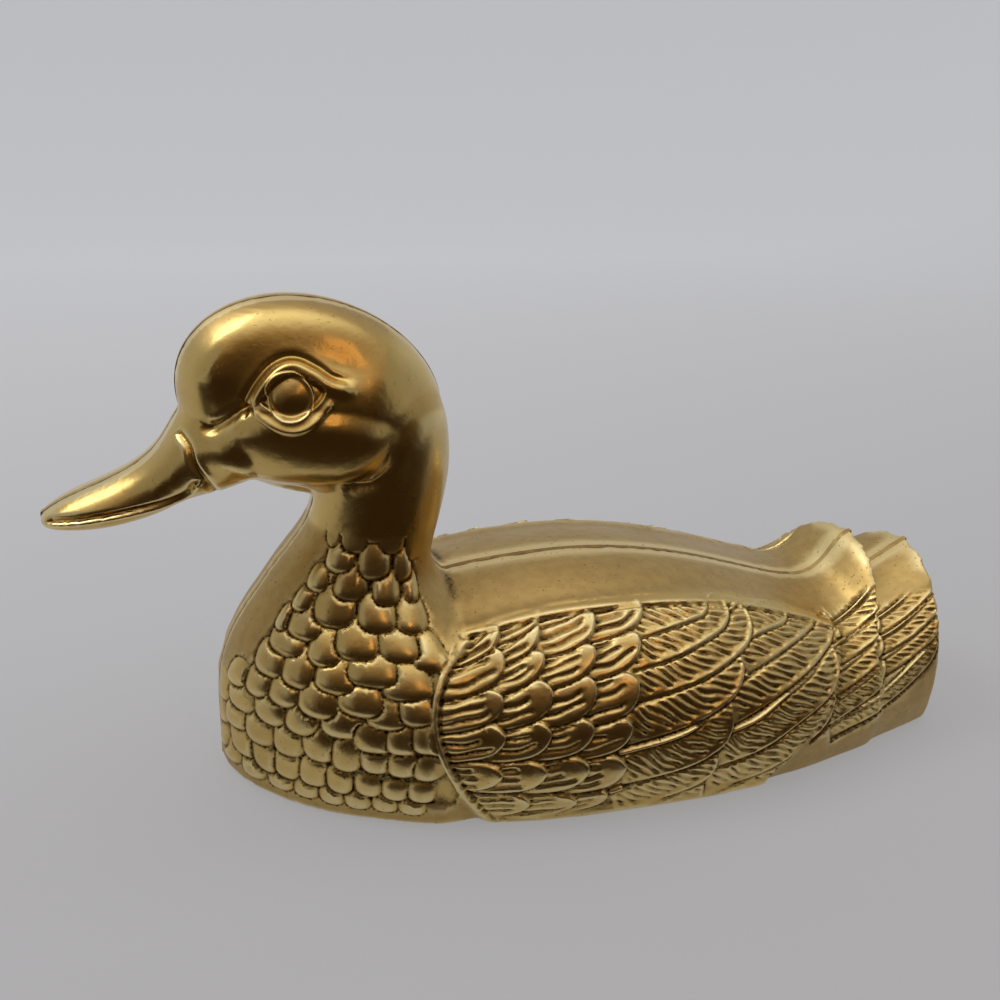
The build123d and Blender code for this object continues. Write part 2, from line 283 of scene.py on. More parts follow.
def makeBrass():
    # cast brass: polished where hands and cloths reach, brown where they do not; the crests are lighter
    # still, partly rubbed wear and partly a painted highlight
    material = bpy.data.materials.new("agedBrass")
    material.use_nodes = True
    tree = material.node_tree
    shader = tree.nodes["Principled BSDF"]
    shader.inputs["Metallic"].default_value = 1.0
    hollow = addNode(tree, "ShaderNodeAttribute", attribute_name="cavity").outputs["Fac"]
    matte = addNode(tree, "ShaderNodeAttribute", attribute_name="matte").outputs["Fac"]
    wearAndHighlight = addNode(tree, "ShaderNodeAttribute", attribute_name="wearAndHighlight").outputs["Fac"]
    cloudy = noiseValue(tree, 34.0, 4.0, 0.35, 0.68)
    mottled = noiseValue(tree, 260.0, 5.0, 0.40, 0.62)
    pits = noiseValue(tree, 900.0, 3.0, 0.665, 0.70)
    grit = noiseValue(tree, 1100.0, 4.0, 0.35, 0.65)
    cloud, mottle = combine(tree, "MULTIPLY", cloudy, 0.5), combine(tree, "MULTIPLY", mottled, 0.5)
    bright = mixColours(tree, cloud, brassFinish["polished"], brassFinish["aged"])
    dull = mixColours(tree, mottle, brassFinish["aged"], brassFinish["dull"])
    dullness = combine(tree, "MULTIPLY", matte, matte)
    skin = mixColours(tree, dullness, bright, dull)
    # painted highlight and wear: the crests are mixed towards a light colour
    wearAndHighlightAmount = combine(tree, "MULTIPLY", wearAndHighlight, brassFinish["wearAndHighlightShare"])
    wearAndHighlightSkin = mixColours(tree, wearAndHighlightAmount, skin, brassFinish["wearAndHighlight"])
    # the grain of the sand mould breaks up the patina's edge
    ragged = combine(tree, "ADD", combine(tree, "MULTIPLY", grit, 0.7), 0.6)
    dirt = combine(tree, "MULTIPLY", hollow, ragged, True)
    dirty = mixColours(tree, dirt, wearAndHighlightSkin, brassFinish["patina"])
    pitShare = combine(tree, "ADD", combine(tree, "MULTIPLY", matte, 0.6), 0.15)
    pitted = combine(tree, "MULTIPLY", pits, pitShare)
    speckled = mixColours(tree, pitted, dirty, brassFinish["pit"])
    tree.links.new(speckled, shader.inputs["Base Color"])
    rough = addNode(tree, "ShaderNodeMix", data_type="FLOAT")
    rough.inputs[2].default_value = brassFinish["polishedRoughness"]
    rough.inputs[3].default_value = brassFinish["agedRoughness"]
    tree.links.new(matte, rough.inputs[0])
    grained = combine(tree, "ADD", rough.outputs[0], combine(tree, "MULTIPLY", cloudy, 0.08))
    rougher = addNode(tree, "ShaderNodeMix", data_type="FLOAT")
    tree.links.new(dirt, rougher.inputs[0])
    tree.links.new(grained, rougher.inputs[2])
    rougher.inputs[3].default_value = brassFinish["patinaRoughness"]
    tree.links.new(rougher.outputs[0], shader.inputs["Roughness"])
    bump = addNode(tree, "ShaderNodeBump")
    bump.inputs["Strength"].default_value = brassFinish["grainStrength"]
    bump.inputs["Distance"].default_value = brassFinish["grainHeight"]
    swell, sink = combine(tree, "MULTIPLY", mottled, 0.3), combine(tree, "MULTIPLY", pitted, -1.2)
    crust = combine(tree, "MULTIPLY", combine(tree, "MULTIPLY", grit, hollow), 2.0)
    surface = combine(tree, "ADD", combine(tree, "ADD", swell, sink), crust)
    tree.links.new(surface, bump.inputs["Height"])
    tree.links.new(bump.outputs[0], shader.inputs["Normal"])
    return material


def makeBraze(name):
    finish = brazeFinish[name]
    material = bpy.data.materials.new(name)
    material.use_nodes = True
    tree = material.node_tree
    shader = tree.nodes["Principled BSDF"]
    shader.inputs["Metallic"].default_value = 1.0
    cloudy = noiseValue(tree, 300.0, 5.0, 0.35, 0.65)
    tree.links.new(mixColours(tree, cloudy, finish["dark"], finish["light"]), shader.inputs["Base Color"])
    shader.inputs["Roughness"].default_value = finish["roughness"]
    bump = addNode(tree, "ShaderNodeBump")
    bump.inputs["Strength"].default_value = brazeFinish["grainStrength"]
    bump.inputs["Distance"].default_value = brazeFinish["grainHeight"]
    tree.links.new(cloudy, bump.inputs["Height"])
    tree.links.new(bump.outputs[0], shader.inputs["Normal"])
    return material


# the flank is unrolled onto a chart in millimetres: along the duck, and around its long middle line
chart = {"axisHeight": 6.0, "radius": 60.0}


def flankChart(p):
    turn = np.arctan2(p[:, 2] - chart["axisHeight"], np.maximum(-p[:, 1], 1e-6))
    return p[:, 0], chart["radius"] * turn


def smoothCurve(points, steps=6):
    # a Catmull-Rom curve through the chosen points
    pts = [2 * np.array(points[0], float) - np.array(points[1], float)]
    pts += [np.array(p, float) for p in points]
    pts.append(2 * pts[-1] - pts[-2])
    out = []
    for i in range(1, len(pts) - 2):
        a, b, c, d = pts[i - 1:i + 3]
        for k in range(steps):
            t = k / steps
            out.append(0.5 * (2 * b + (c - a) * t + (2 * a - 5 * b + 4 * c - d) * t ** 2
                              + (3 * b - a - 3 * c + d) * t ** 3))
    out.append(pts[-2])
    return np.array(out)


def alongCurve(x, y, curve):
    # how far along the curve each point lies, how far to the right of it, and whether it lies past an end
    best = np.full(x.shape, 1e9)
    place, side = np.zeros(x.shape), np.zeros(x.shape)
    past = np.zeros(x.shape, bool)
    walked = 0.0
    for i, (a, b) in enumerate(zip(curve[:-1], curve[1:])):
        step = b - a
        length = math.hypot(*step)
        t = ((x - a[0]) * step[0] + (y - a[1]) * step[1]) / length ** 2
        near = np.clip(t, 0.0, 1.0)
        dx, dy = x - (a[0] + near * step[0]), y - (a[1] + near * step[1])
        distance = np.hypot(dx, dy)
        closer = distance < best
        best = np.where(closer, distance, best)
        place = np.where(closer, walked + near * length, place)
        right = (dx * step[1] - dy * step[0]) / length
        side = np.where(closer, np.sign(right) * distance, side)
        ends = (t < 0) & (i == 0) | (t > 1) & (i == len(curve) - 2)
        past = np.where(closer, ends, past)
        walked += length
    return place, side, past, walked


def smoothStep(value, low, high):
    t = np.clip((value - low) / (high - low), 0.0, 1.0)
    return t * t * (3 - 2 * t)


def groove(distance, halfWidth):
    return np.exp(-(distance / halfWidth) ** 2)


def wave(value, length, start):
    return np.sin(2 * math.pi * value / length + start)


def paintFeather(x, y, height, curve, above, below, look, seed):
    # one feather laid over what is there: above and below are the vane's widths beside the curve
    rng = np.random.default_rng(seed)
    reach = max(above, below) + 2
    lo, hi = curve.min(0) - reach, curve.max(0) + reach
    near = np.where((x > lo[0]) & (x < hi[0]) & (y > lo[1]) & (y < hi[1]))[0]
    if len(near) == 0:
        return
    place, side, past, length = alongCurve(x[near], y[near], curve)
    t = place / length
    tip = look["tip"]
    taper = np.sqrt(np.clip(1 - (np.clip(t - tip, 0, 1) / (1 - tip)) ** 2, 0, 1))
    half, middle = (above + below) / 2, (below - above) / 2
    across = (side - middle * taper) / np.maximum(half * taper, 1e-3)
    q = np.abs(across)
    inside = (q < 1) & ~(past & (t < 0.5)) & (t < 1)
    edge = half * taper * (1 - q)
    shape = look["base"] + look["tilt"] * t + look["bulge"] * np.sqrt(np.clip(1 - q ** 2, 0, 1))
    shape = shape - look["lip"] * (1 - smoothStep(edge, 0.0, 1.0))
    shape += look["rim"] * groove(edge - 1.5, 0.8) * smoothStep(t, 0.1, 0.4)
    if look["style"] == "flight":
        shape -= 0.75 * groove(side - 1.25, 0.55) + 0.75 * groove(side + 1.0, 0.5)
        shape += 0.55 * groove(side, 0.75)
        wander = 0.11 * wave(place, 9.0, rng.uniform(0, 6))
        wander = wander + 0.12 * wave(place + side, 19.0, rng.uniform(0, 6))
        phase = (place - look["slant"] * side - look["curl"] * side ** 2) / look["pitch"] + wander
        barb = (0.5 + 0.5 * np.cos(2 * math.pi * phase)) ** 1.9
        strength = 0.8 + 0.25 * wave(place, 6.7, rng.uniform(0, 6))
        stop = 1.3 + 1.5 * (0.5 + 0.5 * wave(place, 7.3, rng.uniform(0, 6)))
        room = smoothStep(side, 1.5, 2.6) * smoothStep(edge, stop, stop + 1.2) * smoothStep(t, 0.02, 0.06)
        shape -= look["barb"] * strength * barb * room
    else:
        for line in look["lines"]:
            line = line + rng.uniform(-0.09, 0.09) + 0.05 * wave(place, 11.0, rng.uniform(0, 6))
            distance = (across - line) * half
            end = look["lineEnd"] + rng.uniform(-0.16, 0.06)
            room = smoothStep(t, 0.05, 0.15) * (1 - smoothStep(t, end, end + 0.08))
            shape -= look["barb"] * rng.uniform(0.7, 1.25) * groove(distance, rng.uniform(0.55, 0.85)) * room
    chosen = near[inside]
    height[chosen] = shape[inside]


# heights in millimetres against the panel's level; tip is where a feather starts to round off
covertLook = {"style": "covert", "tip": 0.60, "base": -2.35, "tilt": 1.55, "bulge": 0.95, "lip": 0.7,
              "rim": 0.1, "barb": 0.85, "lines": (-0.55, -0.08, 0.42), "lineEnd": 0.74}
flightLook = {"style": "flight", "tip": 0.72, "base": -2.0, "tilt": 0.95, "bulge": 0.7, "lip": 0.6,
              "rim": 0.45, "barb": 0.8, "pitch": 3.3, "slant": 0.6, "curl": 0.03}
tailLook = dict(flightLook, base=-1.5, tilt=0.6, bulge=0.5, barb=0.7, pitch=3.0)

# feathers on the flank chart, each row from its lowest feather up
flightRows = [
    # behind the second row, running onto the tail
    [((92, 13), (118, 20), (135, 31), (146, 41)), ((112, 31), (125, 36), (137, 43), (148, 51)),
     ((118, 42), (130, 47), (140, 54), (150, 62)), ((122, 53), (132, 58), (142, 65), (150, 72))],
    # between the wing's tip and the coverts' lip
    [((76, 17), (98, 23), (112, 29), (121, 35)), ((92, 30), (103, 34), (114, 40), (123, 47)),
     ((97, 41), (107, 45), (117, 51), (125, 59)), ((103, 52), (112, 57), (120, 63), (127, 71))],
    # the long feathers that end at the wing's tip
    [((46, -4), (58, -1), (70, 3), (80, 8)), ((44, 7), (56, 9), (70, 14), (84, 22), (91, 29)),
     ((46, 18), (60, 21), (72, 27), (86, 34), (97, 43)), ((48, 31), (64, 37), (80, 44), (92, 52), (103, 61)),
     ((56, 46), (70, 51), (83, 57), (92, 63), (97, 67)), ((54, 55), (66, 59), (76, 62), (86, 65))],
    # the shorter feathers over their roots
    [((10, -7), (22, -4), (34, -1), (43, 3)), ((11, 3), (22, 7), (34, 11), (46, 17)),
     ((13, 17), (26, 19), (38, 22), (50, 30)), ((15, 31), (28, 33), (40, 36), (50, 41), (56, 46)),
     ((17, 43), (32, 45), (44, 48), (56, 54), (66, 62)), ((18, 52), (32, 54), (44, 58), (52, 62), (59, 67)),
     ((20, 61), (32, 63), (44, 66), (54, 69))],
]
flightWidths = [8.0, 8.5, 12.0, 12.5]

# small coverts in tiers, from the rearmost forward: tip, half width and slope of each feather
covertTiers = [
    [((10, 3), 5.0, 8), ((15, 13), 6.3, 12), ((17, 25), 6.0, 14), ((20.5, 37), 6.8, 20), ((24, 50), 6.0, 24),
     ((28.5, 62), 6.2, 26), ((31, 71), 5.5, 26)],
    [((0, 2), 5.0, 6), ((3, 14), 6.3, 10), ((4.5, 26), 6.0, 14), ((6.5, 38), 6.8, 20), ((8.5, 48), 5.2, 24),
     ((11, 59), 6.2, 26), ((12.5, 68), 5.5, 26)],
    [((-15, 3), 5.5, 6), ((-10.5, 14), 5.8, 8), ((-9, 26), 6.3, 10), ((-7.5, 38), 6.5, 18),
     ((-8, 48), 5.0, 24), ((-7.5, 57), 5.0, 28), ((-5, 64.5), 5.0, 30)],
    [((-24, 14), 5.6, 2), ((-23, 26), 6.2, 4), ((-22.5, 37), 6.0, 12), ((-20.5, 50), 7.0, 22),
     ((-20, 59), 5.0, 30)],
]
covertLength = 24.0

# the raised panel's edge from its lower front corner round to the rear, in shares of length and height
wingPanel = {"front": -45.0, "length": 150.0, "height": 61.7, "sideFrom": 8.0,
             "edge": ((0.14, -0.08), (0.055, 0.20), (0, 0.55), (0.02, 0.79), (0.09, 0.92), (0.22, 0.975),
                      (0.36, 1), (0.51, 0.99), (0.67, 0.94), (0.83, 0.84), (1, 0.70), (0.955, 0.55),
                      (0.90, 0.40), (0.80, 0.15), (0.74, -0.08))}


def panelOutline():
    start, length, height = wingPanel["front"], wingPanel["length"], wingPanel["height"]
    corners = [(start + along * length, up * height) for along, up in wingPanel["edge"]]
    front, top, rear = corners[0:5], corners[4:11], corners[10:15]
    return [smoothCurve(front), smoothCurve(top), smoothCurve(rear)]


def insideOutline(x, z, outline):
    inside = np.zeros(x.shape, bool)
    ring = np.vstack([*outline, outline[0][:1]])
    for (ax, az), (bx, bz) in zip(ring[:-1], ring[1:]):
        if az == bz:
            continue
        crosses = ((az > z) != (bz > z)) & (x < (bx - ax) * (z - az) / (bz - az) + ax)
        inside ^= crosses
    return inside


def wingRelief(p):
    # depth of the carving on the flank, from 0 at the panel's own level downwards
    u, v = flankChart(p)
    outline = panelOutline()
    onWing = insideOutline(p[:, 0], p[:, 2], outline) & (p[:, 1] < -wingPanel["sideFrom"])
    _, toTop, _, _ = alongCurve(p[:, 0], p[:, 2], outline[1])
    carved = -1.9 + 0.9 * (1 - smoothStep(np.abs(toTop), 2.0, 7.0))
    plain = carved.copy()
    seed = 0
    for row, width in zip(flightRows, flightWidths):
        look = tailLook if width < 10 else flightLook
        for feather in row:
            seed += 1
            paintFeather(u, v, carved, smoothCurve(feather, 5), 1.4, width, look, seed)
    for tier in covertTiers:
        for (tipU, tipV), half, slope in tier:
            seed += 1
            angle = math.radians(slope)
            back, down = covertLength * math.cos(angle), covertLength * math.sin(angle)
            root = (tipU - back, tipV - 0.6 * down)
            middle = (tipU - 0.5 * back, tipV - 0.4 * down - 0.6)
            curve = smoothCurve((root, middle, (tipU, tipV)), 5)
            paintFeather(u, v, carved, curve, half, half, covertLook, seed)
    painted = carved != plain
    depth = np.where(onWing, carved, 0.0)
    # the rim round the panel's front and top, with a groove inside it
    for line, width in ((outline[0], 1.5), (outline[1], 0.5)):
        _, side, _, _ = alongCurve(p[:, 0], p[:, 2], line)
        gap = np.abs(side)
        rim = onWing & (gap < width * 2.4)
        share = smoothStep(gap, width, width * 1.6)
        raised = np.maximum(depth, -0.2) * (1 - share) + depth * share - 0.5 * groove(gap - width * 2, 0.5)
        depth = np.where(rim, raised, depth)
    # feathers on the tail's sides, which lie in the plain skin and stop below the lips
    tail = ~onWing & (u > 84 + 0.9 * np.maximum(v - 40, 0)) & (p[:, 1] < -10) & painted & (v < 66)
    fade = smoothStep(-p[:, 1], 11, 19) * (1 - smoothStep(v, 58, 66))
    depth = np.where(tail, (carved + 0.35) * fade, depth)
    return depth, onWing | (tail & (fade > 0.3))


breast = {"axis": -50.0, "radius": 50.0, "top": 87.0, "valley": -1.0, "crest": 2.1, "lean": 0.35,
          "power": 2.4, "flapLevel": -0.05}

# scales on the breast chart, from the lowest row up: place, half width and half height
breastScales = [
    (11, 7.5, 5.5, 3.6), (22, 7, 5.5, 3.6), (33, 7, 5.5, 3.6), (43, 7, 5.2, 3.4), (52, 6.8, 4.8, 3.2),
    (61, 6.5, 4.8, 3), (70, 6.5, 4.6, 3), (78, 6.5, 4.4, 3), (5.5, 11, 5, 4), (17.5, 14.5, 6.5, 4.8),
    (27, 13, 5.5, 5), (36, 13.5, 5.2, 5), (46, 13.5, 5.6, 4.6), (55, 12.5, 4.8, 4.2), (64.5, 12, 4.6, 3.2),
    (73, 11.5, 4.3, 3), (80.5, 11.5, 4, 3), (4.5, 20.5, 5, 4.6), (15, 23.5, 6, 4.4), (25.5, 23, 6, 5.4),
    (37, 23, 5.8, 5.4), (48, 24, 5.6, 5), (57.5, 22, 5, 5), (67, 22, 4.9, 4), (75, 21.5, 4.6, 4),
    (82, 20.5, 4, 3.6), (6.5, 30, 5.4, 4.6), (17.5, 32, 6.8, 5), (30, 32, 6.3, 4.6), (42.3, 32.5, 6.2, 5.2),
    (56.3, 33.8, 7.3, 4.4), (66, 29.5, 6, 4), (75, 30, 5, 4.2), (81.5, 31, 4, 4), (14.5, 38.5, 5.5, 4),
    (24, 39.5, 5.5, 4.5), (35, 39.5, 6.2, 4.2), (47.5, 39, 7.3, 4.4), (70.5, 37.8, 6.4, 3.8),
    (79, 40, 4.8, 4.2), (62, 41.5, 7.8, 4.3), (26.5, 47.5, 6.5, 4.6), (38.3, 47, 6.2, 4.7),
    (52.5, 47, 7.6, 4), (77, 46.8, 8, 3.9), (65.5, 49.8, 9.3, 3.9), (30.5, 54.2, 8, 4),
    (46.5, 54, 6.8, 4.2), (87, 54, 7, 3.6), (26, 59.5, 3.8, 3.4), (58.8, 56.8, 9.5, 4.4),
    (76, 56.5, 8.6, 4), (35.5, 59.8, 8, 4.3), (31, 65.8, 4.8, 3.4), (84.5, 62.5, 9, 4),
    (67, 63.5, 9.6, 4.3), (46.5, 64.8, 10, 4.9), (35, 72.3, 6, 3.4), (87.5, 69, 6, 3.9), (72, 70, 8.4, 4.2),
    (52.5, 72, 9, 4.6), (83, 75.5, 6.6, 4.2), (65, 77.8, 10, 4.6), (44.4, 79.2, 9, 4.2)]
neckFlaps = [(37, 86.5, 6, 4.5), (52, 86, 9, 4.8), (75.5, 85.5, 9.5, 5), (92, 81.5, 7, 5)]


def breastChart(p):
    turn = np.arctan2(-p[:, 1], -(p[:, 0] - breast["axis"]))
    return breast["radius"] * turn, p[:, 2]


def breastRelief(p):
    # domed scales that overlap downwards, under the pointed edge of the neck's smooth skin
    u, v = breastChart(p)
    height = np.full(len(p), breast["valley"])
    covered = np.zeros(len(p), bool)
    for number, (middleU, middleV, half, drop) in enumerate(breastScales + neckFlaps):
        rng = np.random.default_rng(number)
        du = (u - middleU) / half + 0.12 * rng.uniform(-1, 1) * (v - middleV) / drop
        dv = (v - middleV) / np.where(v < middleV, drop, drop * 1.6)
        r = (np.abs(du) ** breast["power"] + np.abs(dv) ** breast["power"]) ** (1 / breast["power"])
        inside = r < 1
        if number < len(breastScales):
            crest = breast["crest"] * rng.uniform(0.88, 1.1)
            dome = breast["valley"] + crest * (1 - np.minimum(r, 1) ** 2.1) ** 0.6
            dome += (rng.uniform(-0.25, 0.25) * du - breast["lean"] * dv) * (1 - np.minimum(r, 1) ** 4)
        else:
            dome = breast["flapLevel"] - 0.9 * np.minimum(r, 1) ** 9 * (dv < 0)
        height = np.where(inside, dome, height)
        covered |= inside
    startLine = 34 * smoothStep(v, 28, 74) + 10 * smoothStep(v, 10, 28)
    inZone = covered | ((u > startLine + 3) & (v < breast["top"] - 2) & (u < 90) & (v > 8))
    height = np.where(v > breast["top"], np.maximum(height, breast["flapLevel"]), height)
    region = smoothStep(u, 2, 8) * (1 - smoothStep(u, 86 + 6 * (v > 50), 97)) * smoothStep(v, 2.0, 4.5)
    return np.where(inZone & (v < 90), height, 0.0) * region, inZone & (v < 84)


# strokes on the head's side, in millimetres along the duck and up, from front to rear
head = {"eye": (-80.5, 133.3), "eyeRadius": 6.9, "cheek": (-77, 115.5), "cheekReach": (30, 14),
        "cheekRise": 2.4, "browDepth": 2.6, "browWidth": 5.6, "socketDepth": 1.7, "coinRise": 1.3,
        "upperLid": 1.3, "lowerLid": 0.9, "billCrease": 1.5}
lidUpper = [(-91.5, 129.5), (-88, 135.5), (-83.5, 140.2), (-78.6, 141.6), (-73.5, 139.0), (-69, 135.6),
            (-62, 133.4)]
lidLower = [(-92, 129.3), (-87.5, 126.8), (-82, 124.6), (-77, 124.8), (-72.5, 127.8), (-68.5, 132.2)]
almond = [(-89.3, 131.2), (-85.5, 136.6), (-79.5, 139.9), (-74.5, 138.0), (-70.6, 134.0), (-74, 129.6),
          (-79.5, 127.0), (-84.5, 127.9), (-89.3, 131.2)]
browChannel = [(-103, 122.5), (-97, 130), (-90, 140), (-80, 145.2), (-70, 143.5), (-60, 139), (-52, 135)]
cheekEdge = [(-101, 112), (-92, 109.5), (-80, 108.5), (-69, 106), (-60, 104.5), (-54.5, 108), (-51.5, 116),
             (-52.5, 124)]
creaseFront = [(-106, 120.5), (-100, 123.5), (-95, 128), (-91, 129.4)]
billBase = [(-111.4, 119.5), (-109, 116.5), (-107.8, 111.5), (-105.5, 107), (-103, 102), (-101.5, 98)]
mouthLine = [(-148.5, 92.2), (-141.8, 93.2), (-134, 94.4), (-122, 96.4), (-113, 98.8), (-108.6, 101.4),
             (-107.2, 104)]


def strokeDistance(x, z, points):
    # distance from a stroke, the side of it with a sign, and the share of its length
    place, side, past, length = alongCurve(x, z, smoothCurve(points, 5))
    return np.where(past, np.hypot(side, 2.0), np.abs(side)), side, place / length


def betweenLids(x, z):
    return insideOutline(x, z, [smoothCurve(almond, 5)])


def jawRise(p):
    # the arch under the head, between the bill's root and the neck
    x, z = p[:, 0], p[:, 2]
    rise = 3.0 * np.exp(-((x + 77) / 12) ** 2) * smoothStep(z, 86, 96) * (1 - smoothStep(z, 101, 113))
    return rise * smoothStep(-p[:, 1], 1.5, 6.0) * (x < -56)


def headRelief(p, normal):
    x, z = p[:, 0], p[:, 2]
    lift = np.zeros(len(p))
    onHead = (z > 86) & (x < -26) & (p[:, 1] < 0)
    facing = smoothStep(-normal[:, 1], 0.15, 0.6)
    eyeX, eyeZ = head["eye"]
    radius = head["eyeRadius"]
    r = np.hypot(x - eyeX, z - eyeZ)
    (cheekX, cheekZ), (reachX, reachZ) = head["cheek"], head["cheekReach"]
    cheek = np.clip(1 - ((x - cheekX) / reachX) ** 2 - ((z - cheekZ) / reachZ) ** 2, 0, 1)
    lift += head["cheekRise"] * smoothStep(cheek, 0.0, 0.75)
    _, side, t = strokeDistance(x, z, cheekEdge)
    low = smoothStep(t, 0.0, 0.15) * (1 - smoothStep(t, 0.6, 0.9))
    lift -= 1.4 * groove(np.maximum(side, 0) + 4 * (side < 0) - 1.2, 2.6) * (side > 0) * low
    d, side, t = strokeDistance(x, z, browChannel)
    channel = smoothStep(t, 0.0, 0.2) * (1 - smoothStep(t, 0.75, 1.0))
    lift -= head["browDepth"] * groove(d, head["browWidth"]) * channel
    lift += 0.7 * groove(d - 9.5, 3.5) * channel * (side < 0)
    opening = betweenLids(x, z)
    d, _, _ = strokeDistance(x, z, almond)
    lift -= np.where(opening, head["socketDepth"] * smoothStep(d, 0.0, 1.0), 0.0)
    # the eye is a flat coin with a raised rim
    coin = head["coinRise"] - 0.25 * smoothStep(r, 0.0, 4.0) + 0.55 * groove(r - radius + 0.75, 0.6)
    coin = coin * (1 - smoothStep(r, radius - 0.4, radius + 0.1))
    lift = np.where(r < radius + 0.1, lift + coin, lift)
    d, side, t = strokeDistance(x, z, lidUpper)
    thick = 1.1 + 0.8 * smoothStep(t, 0.35, 0.75)
    ends = smoothStep(t, 0.0, 0.15) * (1 - 0.7 * smoothStep(t, 0.88, 1.0))
    lift += head["upperLid"] * groove(d, thick) * ends * ~opening
    lift -= 1.1 * groove(d - 3.0, 1.0) * (side < 0) * (1 - smoothStep(t, 0.8, 1.0))
    d, _, t = strokeDistance(x, z, lidLower)
    ends = smoothStep(t, 0.0, 0.1) * (1 - smoothStep(t, 0.9, 1.0))
    lift += head["lowerLid"] * groove(d, 1.0) * ends * ~opening
    d, _, t = strokeDistance(x, z, creaseFront)
    lift -= 1.9 * groove(d, 1.5) * smoothStep(t, 0.0, 0.3)
    d, _, _ = strokeDistance(x, z, billBase)
    lift -= head["billCrease"] * groove(d, 0.9)
    # a groove under the lip of the bill
    _, side, _ = strokeDistance(x, z, mouthLine)
    lift -= 1.5 * groove(side + 1.1, 0.8) * (np.abs(side) < 4)
    lift += 0.7 * groove(side, 0.7)
    return np.where(onHead, lift * facing, 0.0)


casting = {"voxel": 1.1 * mm, "smoothing": 6, "brazeHalf": 1.0 * mm, "cut": 2.0 * mm, "stretch": 3.5 * mm,
           "insideKeep": 0.12, "gapMargin": 1.4, "gapPasses": 40, "stepPasses": 12, "browPasses": 4,
           "eyeWall": 2.2, "shadeReach": 9, "mattePasses": 6, "triangles": 190000}


def remeshed(name, source, voxel):
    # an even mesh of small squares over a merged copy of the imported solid
    bm = bmesh.new()
    bm.from_mesh(source.data)
    bmesh.ops.remove_doubles(bm, verts=bm.verts[:], dist=1e-6)
    rough = linkObject(name + "_rough", bm)
    modifier = rough.modifiers.new("squares", "REMESH")
    modifier.mode = "VOXEL"
    modifier.voxel_size = voxel
    graph = bpy.context.evaluated_depsgraph_get()
    mesh = bpy.data.meshes.new_from_object(rough.evaluated_get(graph))
    bpy.data.objects.remove(rough)
    return mesh


def positions(mesh):
    co = np.empty(len(mesh.vertices) * 3, np.float32)
    mesh.vertices.foreach_get("co", co)
    return co.reshape(-1, 3).astype(float)


def normals(mesh):
    no = np.empty(len(mesh.vertices) * 3, np.float32)
    mesh.vertex_normals.foreach_get("vector", no)
    return no.reshape(-1, 3).astype(float)


def outwardness(p, normal):
    # how far the skin looks away from the middle line of body, neck or head, from -1 to 1
    centre = np.zeros(p.shape)
    centre[:, 0] = p[:, 0]
    centre[:, 2] = np.minimum(p[:, 2], 12.0)
    onNeck = (p[:, 2] > 60) & (p[:, 2] < 112) & (p[:, 0] < -24)
    centre[onNeck] = np.stack([np.full(onNeck.sum(), -53.0), np.zeros(onNeck.sum()), p[onNeck, 2]], 1)
    onHead = p[:, 2] >= 112
    centre[onHead] = (-71.0, 0.0, 124.0)
    onBill = (p[:, 0] < -95) & (p[:, 2] > 84)
    centre[onBill, 0] = p[onBill, 0]
    centre[onBill, 2] = np.clip(p[onBill, 2], 93.0, 110.0)
    ray = p - centre
    outward = (ray * normal).sum(1) / np.maximum(np.linalg.norm(ray, axis=1), 1e-3)
    return np.where(onBill, 1.0, outward)


def facesInward(mesh):
    # inside the hollow, a line out to the side meets the wall again
    bm = bmesh.new()
    bm.from_mesh(mesh)
    tree = BVHTree.FromBMesh(bm)
    sideways = Vector((0.0, -1.0, 0.0))
    blocked = [tree.ray_cast(v.co + v.normal * 0.4 * mm, sideways)[0] is not None for v in bm.verts]
    bm.free()
    return np.array(blocked) & (outwardness(positions(mesh) / mm, normals(mesh)) < 0.5)


def neighbourMean(edges, values):
    ends = np.concatenate([edges[:, 0], edges[:, 1]])
    others = np.concatenate([edges[:, 1], edges[:, 0]])
    number = len(values)
    count = np.maximum(np.bincount(ends, minlength=number), 1)
    columns = values.reshape(number, -1)
    sums = [np.bincount(ends, weights=column[others], minlength=number) for column in columns.T]
    return np.stack([total / count for total in sums], 1).reshape(values.shape)


def relaxed(edges, p, where, passes):
    # smooths only the chosen points and leaves the rest in place
    for _ in range(passes):
        p = np.where(where[:, None], 0.5 * p + 0.5 * neighbourMean(edges, p), p)
    return p


def wingInterior(p, margin):
    outline = panelOutline()
    inside = insideOutline(p[:, 0], p[:, 2], outline) & (p[:, 1] < -8) & (p[:, 2] > 1.5)
    for line in outline:
        _, side, _, _ = alongCurve(p[:, 0], p[:, 2], line)
        inside &= np.abs(side) > margin
    return inside


def movePoints(mesh, p):
    mesh.vertices.foreach_set("co", (p * mm).astype(np.float32).ravel())
    mesh.update()


def edgePairs(mesh):
    pairs = np.empty(len(mesh.edges) * 2, np.int32)
    mesh.edges.foreach_get("vertices", pairs)
    return pairs.reshape(-1, 2)


def setAttribute(mesh, name, values):
    attribute = mesh.attributes.new(name, "FLOAT", "POINT")
    attribute.data.foreach_set("value", values.astype(np.float32))


def needsDetail(p):
    # where the carving needs smaller faces: the flank and tail, the breast, the face
    u, v = flankChart(p)
    flank = (u > -48) & (u < 152) & (p[:, 1] < -12) & (v < 74) & (p[:, 2] < 66)
    scales = (breastChart(p)[0] < 100) & (p[:, 2] < 88) & (p[:, 0] < -20)
    face = (p[:, 2] > 88) & (p[:, 0] < -50) & (p[:, 1] < -4)
    return flank | scales | face


def nearEye(p):
    # the eye and its lids
    return (np.abs(p[:, 0] + 80) < 16) & (np.abs(p[:, 2] - 134) < 11) & (p[:, 1] < -8)


def splitWhere(bm, wanted):
    # one cut in each edge whose two ends are wanted
    bm.verts.ensure_lookup_table()
    edges = [e for e in bm.edges if wanted[e.verts[0].index] and wanted[e.verts[1].index]]
    bmesh.ops.subdivide_edges(bm, edges=edges, cuts=1, use_grid_fill=True)
    bmesh.ops.triangulate(bm, faces=[f for f in bm.faces if len(f.verts) > 4])
    bm.verts.index_update()
    bm.normal_update()


